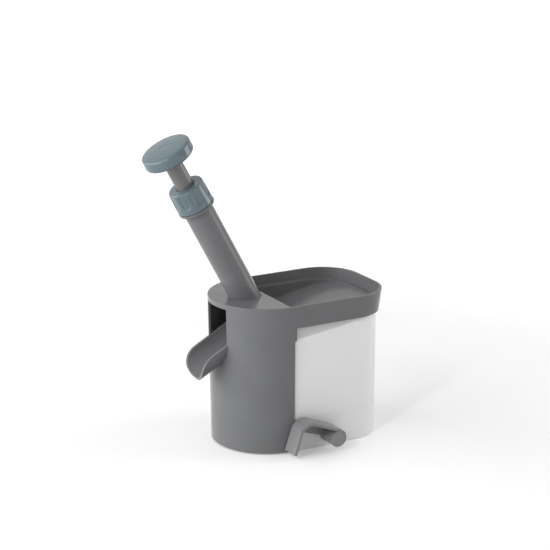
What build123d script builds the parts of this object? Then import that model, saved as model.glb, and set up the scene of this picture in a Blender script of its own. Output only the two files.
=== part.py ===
"""Counter-top cherry pitter with a stone container, a sprung piston and a suction base.

Sizes are in millimetres. Z is up from the counter, X runs from the fruit chute at the front (-X) to the
back of the container, and the suction lever is on the -Y side. The origin is the middle of the suction cup,
on the counter.
"""

import os
from math import acos, atan2, cos, hypot, radians, sin, sqrt, tan

from build123d import *

os.makedirs("parts", exist_ok=True)

# Clearances
running = 0.05  # shaft in its bearing, on the radius
snug = 0.1  # pieces of one assembly that are pushed together
loose = 0.3  # pieces that slide past or lift off each other

# Body seen from above: half-round front, straight sides, rounded back corners
deck_height = 134.0
deck_half_width = 52.0
foot_half_width = 50.0  # the walls lean in towards the counter
front_axis_x = -33.5  # axis of the half-round front
wall = 2.2
skirt_foot = 1.5
deck_thickness = 2.5

# Lip of the hopper, which flares out at the back
lip_height = 19.5
lip_back_x = 70.0
lip_back_flare = 3.8
lip_corner = 36.0
lip_corner_flare = 2.0
lip_bottom = deck_height - lip_height
rim_round = 0.7
tab_length = 1.6  # the skirt's back edge reaches further back just under the lip
tab_height = 11.5

# Stone container
container_wall = 1.8
container_drop = 12.0  # rim below the deck
container_top = deck_height - container_drop
container_floor = 29.0
foot_round = 1.0
container_floor_thickness = 2.2
neck_front_x = -56.0
neck_gap = 1.7  # between the neck's corners and the half-round skirt
neck_half_width = sqrt(
    (min(deck_half_width, foot_half_width) - wall) ** 2 - (neck_front_x - front_axis_x) ** 2
) - neck_gap
neck_front_drop = 48.0  # top of the neck's front edge below the deck
neck_front_height = deck_height - neck_front_drop
neck_opening_half_width = neck_half_width - 6.5
neck_open_drop = 34.0
neck_open_height = deck_height - neck_open_drop
shoulder_round = 1.2
gate_thickness = 2.0
gate_rib = 1.8

# Bowl of the hopper, nested in the container
bowl_gap = 0.5
bowl_wall = 1.8
bowl_front_x = -36.0
ledge_thickness = 2.0
ramp_angle = 10.4
ramp_front_drop = 30.0  # underside of the sloping floor below the deck, at the axis of the half-round front
ramp_front_height = deck_height - ramp_front_drop
ramp_thickness = 2.0
gate_sill = 1.8  # below the trough's lowest line

# Guide tube, measured along its own axis from the deck
tube_lean = 28.3
tube_foot_x = -55.0
tube_radius = 13.0
tube_bore = 10.8
tube_end = -9.0
tube_end_wall = 2.5
collar_bottom = 94.3
collar_thickness = 4.0
collar_radius = 16.6
collar_cone = 1.5
neck_radius = 12.4
neck_length = 16.4
socket_wall = 2.2
socket_depth = 6.5
stripper_bore = 4.3

# Screw cap
cap_height = 20.4
cap_radius = 16.4
cap_top_radius = 15.8
cap_top_thickness = 3.0
cap_bevel = 1.6
cap_rod_gap = 0.25
flute_count = 8
flute_width = 8.0
flute_depth = 1.2
flute_foot = 5.0

# Piston
stroke = 25.5
rod_radius = 8.0
rod_bottom = 38.5
guide_length = 5.5
stop_length = 6.0
piston_slip = 0.3
knob_radius = 22.8
knob_gap = 0.5  # left between knob and cap at full stroke
knob_height = 13.8
knob_crown = 1.6
knob_underside_rise = 1.4
knob_taper = 0.7  # the side leans in towards the face
knob_low_round = 3.0
knob_face_round = 2.0
knob_socket = 7.0
knob_hub_radius = 10.5
stud_radius = 2.5
stud_depth = 12.0
stud_reach = 4.0
punch_radius = 2.5
punch_head_radius = 4.0
punch_tip = -14.5
blade_length = 12.0
blade_thickness = 1.2
punch_boss_length = 8.0
punch_boss_floor = 1.0
punch_engagement = 22.0
pin_radius = 1.0
pin_height = 9.0
pin_half_length = 7.6

# Return spring
spring_wire = 0.55
spring_radius = 7.6
spring_turns = 8
washer_thickness = 1.0

# Chute and seat, measured square to the tube
seat_depth = 35.5  # lowest line of the trough under the deck, along the tube
chute_half_width = 15.4
chute_wall = 2.5
chute_rim_rise = 0.4  # straight part of the walls above the trough's half-round
chute_rim_depth = seat_depth - chute_half_width - chute_rim_rise
chute_tip_length = 75.2
chute_back = 13.3
chute_rim_round = chute_half_width + chute_wall + chute_rim_rise - 0.2
gate_wall_offset = 13.8  # hopper's front wall, behind the tube's axis
gate_wall_thickness = 2.0
window_half_width = 17.0
window_drop = 4.5
window_top = deck_height - window_drop
holder_radius = 12.5
holder_length = 6.5
seat_recess = 2.0
holder_bore = 8.2
ring_outer = 11.0
ring_thickness = 1.6
ring_bore = 5.0
slit_count = 8
slit_width = 0.5
slit_reach = 8.4

# Suction base
base_plate_thickness = 2.5
base_plate_top = 23.5
base_plate_gap = 1.2
screw_radius = 1.5
screw_head_radius = 3.2
screw_head_height = 2.0
screw_length = 5.0
boss_radius = 4.0
screw_places = ((-22.0, 36.0), (-22.0, -36.0), (46.0, 30.0), (46.0, -30.0))
cup_radius = 38.0
cup_shoulder_radius = 18.0
cup_height = 7.5
stem_disc_radius = 12.0
stem_disc_thickness = 2.0
stem_disc_bottom = 3.5
stem_width = 16.0
stem_depth = 12.0
stem_top = 19.0
shaft_height = 12.3
shaft_radius = 3.0
cam_radius = 4.6
cam_throw = 1.5
cam_start = 30.0  # how far the cam is past straight down at rest
cam_gap = 0.35
post_near = 24.0
post_thickness = 6.0
post_width = 14.0
post_foot = 8.2
clip_radius = 5.5
clip_thickness = 0.9
clip_groove = 0.6

# Suction lever
hub_radius = 7.0
hub_proud = 1.0
lever_gap = 0.5
strap_width = 17.0
strap_thickness = 2.6
strap_outer = 9.0  # outer face of the strap above the shaft's axis
web_thickness = 3.0
web_hub_x, web_hub_rise = -7.5, 0.2  # lower edge of the web, from the height of the shaft
web_elbow_x, web_elbow_rise = -26.5, 6.6
elbow_round = 12.0
elbow_x, elbow_z = -33.1, 35.8  # where the arm's and the leg's outer faces would meet
leg_x, leg_z = -43.6, 5.0  # end of the leg's outer face
flat_half = 2.3  # half of the width across the shaft's flats


def half_width_at(z):
    """Half the body's width at height z, between the counter and the deck."""
    return foot_half_width + (deck_half_width - foot_half_width) * z / deck_height


def plan(z, half, back_x, corner):
    """Body outline at height z: half-round front, straight sides and rounded back corners."""
    with BuildSketch(Plane.XY.offset(z)) as outline:
        with BuildLine():
            ThreePointArc((front_axis_x, half), (front_axis_x - half, 0), (front_axis_x, -half))
            Line((front_axis_x, -half), (back_x - corner, -half))
            TangentArc((back_x - corner, -half), (back_x, -half + corner), tangent=(1, 0))
            Line((back_x, -half + corner), (back_x, half - corner))
            TangentArc((back_x, half - corner), (back_x - corner, half), tangent=(0, 1))
            Line((back_x - corner, half), (front_axis_x, half))
        make_face()
    return outline.sketch


def lip_plan(z, inset=0.0):
    """Outline of the lip at height z, drawn in by inset."""
    share = (z - lip_bottom) / lip_height
    back = lip_back_x - lip_back_flare * (1 - share)
    corner = lip_corner - lip_corner_flare * (1 - share)
    return plan(z, half_width_at(z) - inset, back - inset, corner - inset)


container_half_width = half_width_at(lip_bottom) - wall - loose
container_back_x = lip_back_x - lip_back_flare - wall - loose
container_corner = lip_corner - lip_corner_flare - wall - loose
shoulder_x = front_axis_x + loose
bowl_inset = container_wall + bowl_gap
groove_top = container_top + loose
ledge_top = groove_top + ledge_thickness
ramp_low = ramp_front_height - (front_axis_x - bowl_front_x) * tan(radians(ramp_angle)) - ramp_thickness

# Frames that the inclined pieces are drawn in
tube_frame = Plane(
    origin=(tube_foot_x, 0, deck_height),
    x_dir=(cos(radians(tube_lean)), 0, sin(radians(tube_lean))),
    z_dir=(-sin(radians(tube_lean)), 0, cos(radians(tube_lean))),
)
side_frame = Plane(origin=tube_frame.origin, x_dir=tube_frame.x_dir, z_dir=(0, -1, 0))
ramp_bottom_plane = Plane(
    origin=(front_axis_x, 0, ramp_front_height),
    x_dir=(cos(radians(ramp_angle)), 0, sin(radians(ramp_angle))),
    z_dir=(-sin(radians(ramp_angle)), 0, cos(radians(ramp_angle))),
)
ramp_top_plane = ramp_bottom_plane.offset(ramp_thickness)


def across_frame(distance):
    """Plane square to the chute, at this distance behind the tube's axis, with Y across and the tube up."""
    return Plane(
        origin=tube_frame.origin + tube_frame.x_dir * distance, x_dir=(0, 1, 0), z_dir=tube_frame.x_dir
    )


def bowl_plan(z, inset=0.0):
    """Outline of the bowl nested in the container, at height z."""
    total = bowl_inset + inset
    return plan(z, container_half_width - total, container_back_x - total, container_corner - total)


def chute_section(grow=0.0):
    """U section of the chute in a plane square to it, grown outwards by the gap of its slot."""
    outer = chute_half_width + chute_wall + grow
    middle = chute_half_width - seat_depth
    with BuildSketch() as section:
        with BuildLine():
            ThreePointArc((-outer, middle), (0, middle - outer), (outer, middle))
            Polyline((outer, middle), (outer, -chute_rim_depth), (-outer, -chute_rim_depth), (-outer, middle))
        make_face()
    return section.sketch


# Space in the hopper and under the deck, used to hollow the cover
with BuildPart() as inner_space:
    loft([lip_plan(ledge_top, wall), lip_plan(deck_height + 1, wall)])
    extrude(bowl_plan(ramp_low - 1, bowl_wall), amount=ledge_top - ramp_low + 1)
    split(bisect_by=ramp_top_plane, keep=Keep.TOP)

with BuildPart() as hopper_space:
    add(inner_space.part)
    split(bisect_by=across_frame(gate_wall_offset + gate_wall_thickness), keep=Keep.TOP)

with BuildPart() as chamber_space:
    add(inner_space.part)
    split(bisect_by=across_frame(gate_wall_offset), keep=Keep.BOTTOM)
    with BuildSketch(Plane.XY.offset(deck_height - deck_thickness)):
        Rectangle(4 * deck_half_width, 4 * deck_half_width)
    extrude(amount=deck_height, mode=Mode.SUBTRACT)

with BuildPart() as front_space:
    loft([lip_plan(lip_bottom, wall), lip_plan(deck_height - deck_thickness, wall)])
    split(bisect_by=Plane.YZ.offset(bowl_front_x), keep=Keep.BOTTOM)

with BuildPart() as bowl_block:
    extrude(bowl_plan(ramp_low), amount=ledge_top - ramp_low)
    split(bisect_by=ramp_bottom_plane, keep=Keep.TOP)
    split(bisect_by=Plane.YZ.offset(bowl_front_x), keep=Keep.TOP)

with BuildPart() as tube_socket:
    with BuildSketch(tube_frame.offset(-socket_depth)):
        Circle(tube_radius + snug + socket_wall)
    extrude(amount=socket_depth + tube_radius)
    split(bisect_by=Plane.XY.offset(deck_height - deck_thickness / 2), keep=Keep.BOTTOM)

# Cover: deck, lip, hopper and the half-round front skirt with its window
with BuildPart() as cover_body:
    loft([lip_plan(lip_bottom), lip_plan(deck_height)])
    fillet(cover_body.faces().sort_by(Axis.Z)[-1].edges(), rim_round)
    loft([lip_plan(lip_bottom, wall), lip_plan(groove_top, wall)], mode=Mode.SUBTRACT)
    add(bowl_block.part)
    add(hopper_space.part, mode=Mode.SUBTRACT)
    add(chamber_space.part, mode=Mode.SUBTRACT)
    add(front_space.part, mode=Mode.SUBTRACT)
    with BuildSketch(Plane.YZ.offset(front_axis_x)) as skirt_section:
        with BuildLine():
            Polyline(
                (half_width_at(skirt_foot) - wall, skirt_foot),
                (half_width_at(skirt_foot), skirt_foot),
                (half_width_at(lip_bottom), lip_bottom),
                (half_width_at(lip_bottom) - wall, lip_bottom),
                close=True,
            )
        make_face()
    revolve(axis=Axis((front_axis_x, 0, 0), (0, 0, 1)), revolution_arc=180)
    with BuildSketch(Plane.YZ.offset(front_axis_x)):
        for side in (1, -1):
            with Locations((side * (half_width_at(lip_bottom) - wall / 2), lip_bottom - tab_height / 2)):
                Rectangle(wall, tab_height)
    extrude(amount=tab_length)
    add(tube_socket.part)
    # Bore for the tube, and the hopper's gate for one cherry at a time
    with BuildSketch(tube_frame.offset(tube_end - snug)):
        Circle(tube_radius + snug)
    extrude(amount=2 * tube_radius - tube_end, mode=Mode.SUBTRACT)
    with BuildSketch(across_frame(gate_wall_offset - 1)):
        with Locations((0, (tube_end - seat_depth - gate_sill) / 2)):
            RectangleRounded(2 * chute_half_width, seat_depth + gate_sill + tube_end, chute_half_width / 2)
    extrude(amount=gate_wall_thickness + 2, mode=Mode.SUBTRACT)
    # Notch in the sloping floor round the chute and the seat
    with BuildSketch(across_frame(gate_wall_offset)):
        with Locations((0, -chute_rim_depth - seat_depth / 2)):
            Rectangle(2 * (chute_half_width + chute_wall + snug), seat_depth)
    extrude(amount=-2 * gate_wall_offset, mode=Mode.SUBTRACT)
    # Window and the slot that the chute passes through
    window_reach = max(deck_half_width, foot_half_width) - front_axis_x + tube_foot_x
    window_bottom = deck_height - window_reach * tan(radians(tube_lean)) - chute_rim_depth / cos(
        radians(tube_lean)
    )
    with BuildSketch(Plane.YZ.offset(tube_foot_x - 1.3 * tube_radius)):
        with Locations((0, (window_top + window_bottom) / 2)):
            Rectangle(2 * window_half_width, window_top - window_bottom)
    extrude(amount=-2 * deck_half_width, mode=Mode.SUBTRACT)
    extrude(across_frame(gate_wall_offset - snug) * chute_section(snug), amount=-2 * deck_half_width,
            mode=Mode.SUBTRACT)
cover_body.part.label = "cover_body"

# Guide tube with its end wall, collar and the neck for the screw cap
collar_top = collar_bottom + collar_thickness
tube_top = collar_top + neck_length
with BuildPart() as guide_tube:
    with BuildSketch(side_frame) as tube_section:
        with BuildLine():
            Polyline(
                (stripper_bore, tube_end),
                (tube_radius, tube_end),
                (tube_radius, collar_bottom),
                (collar_radius - 0.4, collar_bottom + collar_cone),
                (collar_radius, collar_bottom + 2 * collar_cone),
                (collar_radius, collar_top),
                (neck_radius, collar_top),
                (neck_radius, tube_top),
                (tube_bore, tube_top),
                (tube_bore, tube_end + tube_end_wall),
                (stripper_bore, tube_end + tube_end_wall),
                close=True,
            )
        make_face()
    revolve(axis=Axis(tube_frame.origin, tube_frame.z_dir))
guide_tube.part.label = "guide_tube"

# Exit chute: a U trough that runs out of the window, cut back obliquely at its mouth
with BuildPart() as exit_chute:
    extrude(across_frame(chute_back) * chute_section(), amount=-(chute_back + chute_tip_length))
    with BuildSketch(across_frame(chute_back + 1)):
        with Locations((0, chute_half_width - seat_depth)):
            Circle(chute_half_width)
        with Locations((0, (chute_half_width - seat_depth) / 2)):
            Rectangle(2 * chute_half_width, seat_depth - chute_half_width)
    extrude(amount=-(chute_back + chute_tip_length + 2), mode=Mode.SUBTRACT)
    with BuildSketch(side_frame) as chute_side:
        with BuildLine():
            Polyline(
                (chute_back, -chute_rim_depth),
                (-chute_tip_length, -chute_rim_depth),
                (-chute_tip_length, -seat_depth - chute_wall),
                (chute_back, -seat_depth - chute_wall),
                close=True,
            )
        make_face()
        fillet(chute_side.vertices().group_by(Axis.X)[0].sort_by(Axis.Y)[-1], chute_rim_round)
    extrude(amount=2 * chute_half_width, both=True, mode=Mode.INTERSECT)
    with BuildSketch(tube_frame.offset(-seat_depth - 2 * chute_wall)):
        Circle(holder_radius + snug)
    extrude(amount=seat_depth, mode=Mode.SUBTRACT)
exit_chute.part.label = "exit_chute"

# Seat holder under the punch, with a recess for the rubber ring
holder_top = -seat_depth - seat_recess
with BuildPart() as seat_holder:
    with BuildSketch(tube_frame.offset(holder_top - holder_length)):
        Circle(holder_radius)
        Circle(holder_bore, mode=Mode.SUBTRACT)
    extrude(amount=holder_length)
    with BuildSketch(tube_frame.offset(holder_top - ring_thickness)):
        Circle(ring_outer + snug)
    extrude(amount=ring_thickness, mode=Mode.SUBTRACT)
seat_holder.part.label = "seat_holder"

with BuildPart() as seat_ring:
    with BuildSketch(tube_frame.offset(holder_top - ring_thickness)):
        Circle(ring_outer)
        Circle(ring_bore, mode=Mode.SUBTRACT)
        with PolarLocations((ring_bore + slit_reach) / 2, slit_count):
            Rectangle(slit_reach - ring_bore + 1, slit_width, mode=Mode.SUBTRACT)
    extrude(amount=ring_thickness)
seat_ring.part.label = "seat_ring"

# Screw cap with rounded flutes, over the tube's neck
cap_bottom = collar_top + loose
cap_top = cap_bottom + cap_height
with BuildPart() as screw_cap:
    with BuildSketch(tube_frame.offset(cap_bottom)):
        Circle(cap_radius)
    with BuildSketch(tube_frame.offset(cap_top)):
        Circle(cap_top_radius)
    loft()
    cap_edges = screw_cap.edges().filter_by(GeomType.CIRCLE)
    chamfer(max(cap_edges, key=lambda edge: edge.center().Z), cap_bevel)
    with BuildSketch(tube_frame.offset(cap_bottom)):
        Circle(neck_radius + loose)
    extrude(amount=cap_height - cap_top_thickness, mode=Mode.SUBTRACT)
    with BuildSketch(tube_frame.offset(cap_bottom)):
        Circle(rod_radius + cap_rod_gap)
    extrude(amount=cap_height, mode=Mode.SUBTRACT)
    for number in range(flute_count):
        turned = tube_frame.rotated((0, 0, 360 * number / flute_count))
        flute_plane = Plane(
            origin=turned.origin + turned.x_dir * (cap_radius - flute_depth),
            x_dir=turned.y_dir,
            z_dir=turned.x_dir,
        )
        with BuildSketch(flute_plane):
            with Locations((0, cap_bottom + flute_foot + cap_height)):
                RectangleRounded(flute_width, 2 * cap_height, flute_width / 2 - 0.1)
        extrude(amount=3 * flute_depth, mode=Mode.SUBTRACT)
screw_cap.part.label = "screw_cap"

# Piston: rod with a guide collar at its lower end and a stop collar under the cap
knob_bottom = cap_top + stroke + knob_gap
stop_top = cap_top - cap_top_thickness - loose
rod_top = knob_bottom + knob_socket - snug
piston_axis = Axis(tube_frame.origin, tube_frame.z_dir)
with BuildPart() as piston_rod:
    with BuildSketch(tube_frame.offset(rod_bottom)):
        Circle(rod_radius)
    extrude(amount=rod_top - rod_bottom)
    with BuildSketch(tube_frame.offset(rod_bottom)):
        Circle(tube_bore - piston_slip)
    extrude(amount=guide_length)
    with BuildSketch(tube_frame.offset(stop_top - stop_length)):
        Circle(tube_bore - piston_slip)
    extrude(amount=stop_length)
    with BuildSketch(tube_frame.offset(rod_bottom)):
        Circle(punch_radius + running)
    extrude(amount=punch_engagement + snug, mode=Mode.SUBTRACT)
    with BuildSketch(tube_frame.offset(rod_top)):
        Circle(stud_radius + running)
    extrude(amount=-(stud_depth + snug), mode=Mode.SUBTRACT)
    with BuildSketch(side_frame):
        with Locations((0, rod_bottom + pin_height)):
            Circle(pin_radius + running)
    extrude(amount=2 * rod_radius, both=True, mode=Mode.SUBTRACT)
piston_rod.part.label = "piston_rod"

punch_rod_bottom = punch_tip + blade_length + punch_boss_floor + snug
with BuildPart() as punch_rod:
    with BuildSketch(tube_frame.offset(punch_rod_bottom)):
        Circle(punch_radius)
    extrude(amount=rod_bottom + punch_engagement - punch_rod_bottom)
    with BuildSketch(side_frame):
        with Locations((0, rod_bottom + pin_height)):
            Circle(pin_radius + running)
    extrude(amount=2 * punch_radius, both=True, mode=Mode.SUBTRACT)
punch_rod.part.label = "punch_rod"

with BuildPart() as punch_pin:
    with BuildSketch(side_frame.offset(-pin_half_length)):
        with Locations((0, rod_bottom + pin_height)):
            Circle(pin_radius)
    extrude(amount=2 * pin_half_length)
punch_pin.part.label = "punch_pin"

# Punch head: a boss on the rod that ends in four blades
with BuildPart() as punch_head:
    with BuildSketch(tube_frame.offset(punch_tip)):
        Rectangle(2 * punch_head_radius, blade_thickness)
        Rectangle(blade_thickness, 2 * punch_head_radius)
    extrude(amount=blade_length + punch_boss_floor / 2)
    with BuildSketch(tube_frame.offset(punch_tip + blade_length)):
        Circle(punch_head_radius)
    extrude(amount=punch_boss_length)
    with BuildSketch(tube_frame.offset(punch_rod_bottom - snug)):
        Circle(punch_radius + running)
    extrude(amount=punch_boss_length, mode=Mode.SUBTRACT)
punch_head.part.label = "punch_head"

# Knob: a thick disc with soft edges and a shallow crown
with BuildPart() as piston_knob:
    with BuildSketch(side_frame) as knob_section:
        knob_top = knob_bottom + knob_height
        face_edge = (knob_radius - knob_taper, knob_top - knob_crown)
        with BuildLine():
            Polyline(
                (0, knob_top),
                (0, knob_bottom),
                (knob_hub_radius, knob_bottom),
                (knob_radius, knob_bottom + knob_underside_rise),
                face_edge,
            )
            TangentArc((0, knob_top), face_edge, tangent=(1, 0))
        make_face()
        rim_corners = knob_section.vertices().sort_by(Axis.X)[-2:].sort_by(Axis.Y)
        fillet(rim_corners[0], knob_low_round)
        fillet(rim_corners[1], knob_face_round)
    revolve(axis=piston_axis)
    with BuildSketch(tube_frame.offset(knob_bottom)):
        Circle(rod_radius + snug)
    extrude(amount=knob_socket, mode=Mode.SUBTRACT)
    with BuildSketch(tube_frame.offset(knob_bottom)):
        Circle(stud_radius + running)
    extrude(amount=knob_socket + stud_reach + snug, mode=Mode.SUBTRACT)
piston_knob.part.label = "piston_knob"

with BuildPart() as knob_stud:
    with BuildSketch(tube_frame.offset(rod_top - stud_depth)):
        Circle(stud_radius)
    extrude(amount=stud_depth + stud_reach)
knob_stud.part.label = "knob_stud"

# Return spring between a washer on the tube's end wall and the piston's guide collar
spring_seat_height = tube_end + tube_end_wall
with BuildPart() as spring_seat:
    with BuildSketch(tube_frame.offset(spring_seat_height)):
        Circle(tube_bore - loose)
        Circle(stripper_bore + loose, mode=Mode.SUBTRACT)
    extrude(amount=washer_thickness)
spring_seat.part.label = "spring_seat"

spring_bottom = spring_seat_height + washer_thickness + spring_wire
spring_length = rod_bottom - spring_wire - spring_bottom
with BuildPart() as return_spring:
    with BuildLine() as spring_line:
        Helix(
            pitch=spring_length / spring_turns,
            height=spring_length,
            radius=spring_radius,
            center=tube_frame.origin + tube_frame.z_dir * spring_bottom,
            direction=tube_frame.z_dir,
        )
    with BuildSketch(Plane(origin=spring_line.line @ 0, z_dir=spring_line.line % 0)):
        Circle(spring_wire)
    sweep(path=spring_line.line, is_frenet=True)
return_spring.part.label = "return_spring"
wire_points = [spring_line.line @ (step / (40 * spring_turns)) for step in range(40 * spring_turns + 1)]
turn_gap = min(
    (point - other).length for place, point in enumerate(wire_points) for other in wire_points[place + 20:]
) - 2 * spring_wire
print("spring: least gap between turns", round(turn_gap, 2))


def container_plan(z, inset=0.0):
    """Outline of the container behind the skirt, at height z."""
    half = container_half_width - inset
    corner = container_corner - inset
    back_x = container_back_x - inset
    front_x = shoulder_x + inset
    with BuildSketch(Plane.XY.offset(z)) as outline:
        with BuildLine():
            Polyline((back_x - corner, half), (front_x, half), (front_x, -half), (back_x - corner, -half))
            TangentArc((back_x - corner, -half), (back_x, -half + corner), tangent=(1, 0))
            Line((back_x, -half + corner), (back_x, half - corner))
            TangentArc((back_x, half - corner), (back_x - corner, half), tangent=(0, 1))
        make_face()
        fillet(outline.vertices().group_by(Axis.X)[0], shoulder_round)
    return outline.sketch


# Neck of the container, inside the skirt, with an open front that the gate closes
neck_length_x = shoulder_x - neck_front_x
neck_top_plane = Plane(
    origin=(neck_front_x, 0, neck_front_height),
    x_dir=(cos(radians(tube_lean)), 0, sin(radians(tube_lean))),
    z_dir=(-sin(radians(tube_lean)), 0, cos(radians(tube_lean))),
)
gate_back_x = neck_front_x + gate_rib + gate_thickness + 2 * loose
with BuildPart() as neck_space:
    with BuildSketch(Plane.XY.offset(container_floor)):
        with Locations(((gate_back_x + gate_rib + shoulder_x + 2 * container_wall) / 2, 0)):
            Rectangle(
                shoulder_x + 2 * container_wall - gate_back_x - gate_rib,
                2 * (neck_half_width - container_wall),
            )
        with Locations(((neck_front_x + shoulder_x) / 2, 0)):
            Rectangle(neck_length_x + 2 * container_wall, 2 * neck_opening_half_width)
        with Locations(((neck_front_x + gate_rib + gate_back_x) / 2, 0)):
            Rectangle(gate_back_x - neck_front_x - gate_rib, 2 * (neck_half_width - container_wall))
    extrude(amount=container_top)

with BuildPart() as neck_block:
    with BuildSketch():
        with Locations(((neck_front_x + shoulder_x + container_wall) / 2, 0)):
            Rectangle(neck_length_x + container_wall, 2 * neck_half_width)
    extrude(amount=container_top)
    split(bisect_by=neck_top_plane, keep=Keep.BOTTOM)

with BuildPart() as stone_container:
    extrude(container_plan(0), amount=container_top)
    fillet(stone_container.faces().sort_by(Axis.Z)[0].edges(), foot_round)
    extrude(container_plan(container_floor, container_wall), amount=container_top, mode=Mode.SUBTRACT)
    add(neck_block.part)
    add(neck_space.part, mode=Mode.SUBTRACT)
    # Hollow foot that holds the suction unit
    under_floor = container_floor - container_floor_thickness
    extrude(container_plan(0, container_wall), amount=under_floor, mode=Mode.SUBTRACT)
    with BuildSketch():
        with Locations(((neck_front_x + shoulder_x) / 2 + container_wall + 1, 0)):
            Rectangle(neck_length_x + 2, 2 * (neck_half_width - container_wall))
    extrude(amount=under_floor, mode=Mode.SUBTRACT)
    # The front stands open above the neck, where the cover's sloping floor comes through
    with BuildSketch(Plane.XY.offset(neck_open_height)):
        with Locations((shoulder_x, 0)):
            Rectangle(3 * container_wall, 2 * (container_half_width - container_wall))
    extrude(amount=container_top, mode=Mode.SUBTRACT)
    # Screw bosses under the floor
    with BuildSketch(Plane.XY.offset(base_plate_top)):
        with Locations(*screw_places):
            Circle(boss_radius)
            Circle(screw_radius + running, mode=Mode.SUBTRACT)
    extrude(amount=under_floor - base_plate_top)
    # Bearing for the cam shaft in the near wall
    with BuildSketch(Plane.XZ.offset(container_half_width)):
        with Locations((0, shaft_height)):
            Circle(shaft_radius + 2 * container_wall)
    extrude(amount=-2 * container_wall)
    with BuildSketch(Plane.XZ.offset(container_half_width)):
        with Locations((0, shaft_height)):
            Circle(shaft_radius + running)
    extrude(amount=-3 * container_wall, mode=Mode.SUBTRACT)
stone_container.part.label = "stone_container"

# Gate: flat plate in the grooves of the neck, with a thumb notch
gate_height = neck_front_height - loose - container_floor - 2.0
with BuildPart() as container_gate:
    with BuildSketch(Plane.YZ.offset(neck_front_x + gate_rib + loose)):
        with Locations((0, container_floor + loose + gate_height / 2)):
            RectangleRounded(2 * (neck_half_width - container_wall - loose), gate_height, 1.5)
        with Locations((0, container_floor + loose + gate_height)):
            Circle(9.0, mode=Mode.SUBTRACT)
    extrude(amount=gate_thickness)
container_gate.part.label = "container_gate"

# Base plate under the container's floor, with the bearing posts and the stem's guides
with BuildPart() as base_plate:
    extrude(
        container_plan(base_plate_top - base_plate_thickness, container_wall + base_plate_gap),
        amount=base_plate_thickness,
    )
    with BuildSketch(Plane.XY.offset(post_foot)):
        for side in (1, -1):
            with Locations((0, side * (post_near + post_thickness / 2))):
                Rectangle(post_width, post_thickness)
    extrude(amount=base_plate_top - post_foot - base_plate_thickness / 2)
    with BuildSketch(Plane.XY.offset(shaft_height + shaft_radius)):
        for side in (1, -1):
            with Locations((side * (stem_width / 2 + loose + 1), 0)):
                Rectangle(2, stem_depth)
    extrude(amount=base_plate_top - shaft_height - shaft_radius - base_plate_thickness / 2)
    with BuildSketch(Plane.XY.offset(base_plate_top)):
        Rectangle(stem_width + 2 * loose, stem_depth + 2 * loose)
        with Locations(*screw_places):
            Circle(screw_radius + loose)
    extrude(amount=-base_plate_thickness, mode=Mode.SUBTRACT)
    with BuildSketch(Plane.XZ.offset(container_half_width)):
        with Locations((0, shaft_height)):
            Circle(shaft_radius + running)
    extrude(amount=-2 * container_half_width, mode=Mode.SUBTRACT)
base_plate.part.label = "base_plate"

screw_head_bottom = base_plate_top - base_plate_thickness - screw_head_height
with BuildPart() as base_screws:
    with BuildSketch(Plane.XY.offset(screw_head_bottom)):
        with Locations(*screw_places):
            Circle(screw_head_radius)
    extrude(amount=screw_head_height)
    with BuildSketch(Plane.XY.offset(screw_head_bottom)):
        with Locations(*screw_places):
            Circle(screw_radius)
    extrude(amount=screw_head_height + screw_length)
    with BuildSketch(Plane.XY.offset(screw_head_bottom)):
        with Locations(*screw_places):
            Rectangle(3.6, 0.8)
            Rectangle(0.8, 3.6)
    extrude(amount=screw_head_height / 2, mode=Mode.SUBTRACT)
base_screws.part.label = "base_screws"

# Suction cup and the stem moulded into it; the cam turns in the stem's slot
cam_rest_z = shaft_height - cam_throw * cos(radians(cam_start))
with BuildPart() as cup_stem:
    with BuildSketch(Plane.XY.offset(stem_disc_bottom)):
        Circle(stem_disc_radius)
    extrude(amount=stem_disc_thickness)
    with BuildSketch(Plane.XY.offset(stem_disc_bottom + stem_disc_thickness)):
        Rectangle(stem_width, stem_depth)
    extrude(amount=stem_top - stem_disc_bottom - stem_disc_thickness)
    with BuildSketch(Plane.XZ.offset(stem_depth)):
        with Locations((0, cam_rest_z)):
            Rectangle(2 * (cam_radius + cam_throw + cam_gap), 2 * (cam_radius + cam_gap))
    extrude(amount=-2 * stem_depth, mode=Mode.SUBTRACT)
cup_stem.part.label = "cup_stem"

cup_bore = hypot(stem_width, stem_depth) / 2 + snug
with BuildPart() as suction_cup:
    with BuildSketch(Plane.XZ) as cup_section:
        with BuildLine():
            Polyline(
                (0, 0),
                (cup_radius, 0),
                (cup_radius + 0.6, 1.2),
                (cup_radius - 2.0, 3.2),
                (cup_shoulder_radius, cup_height - 0.4),
                (stem_disc_radius + 2.0, cup_height),
                (cup_bore, cup_height),
                (cup_bore, stem_disc_bottom + stem_disc_thickness + running),
                (stem_disc_radius + running, stem_disc_bottom + stem_disc_thickness + running),
                (stem_disc_radius + running, stem_disc_bottom - running),
                (0, stem_disc_bottom - running),
                close=True,
            )
        make_face()
    revolve(axis=Axis.Z)
suction_cup.part.label = "suction_cup"

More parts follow.
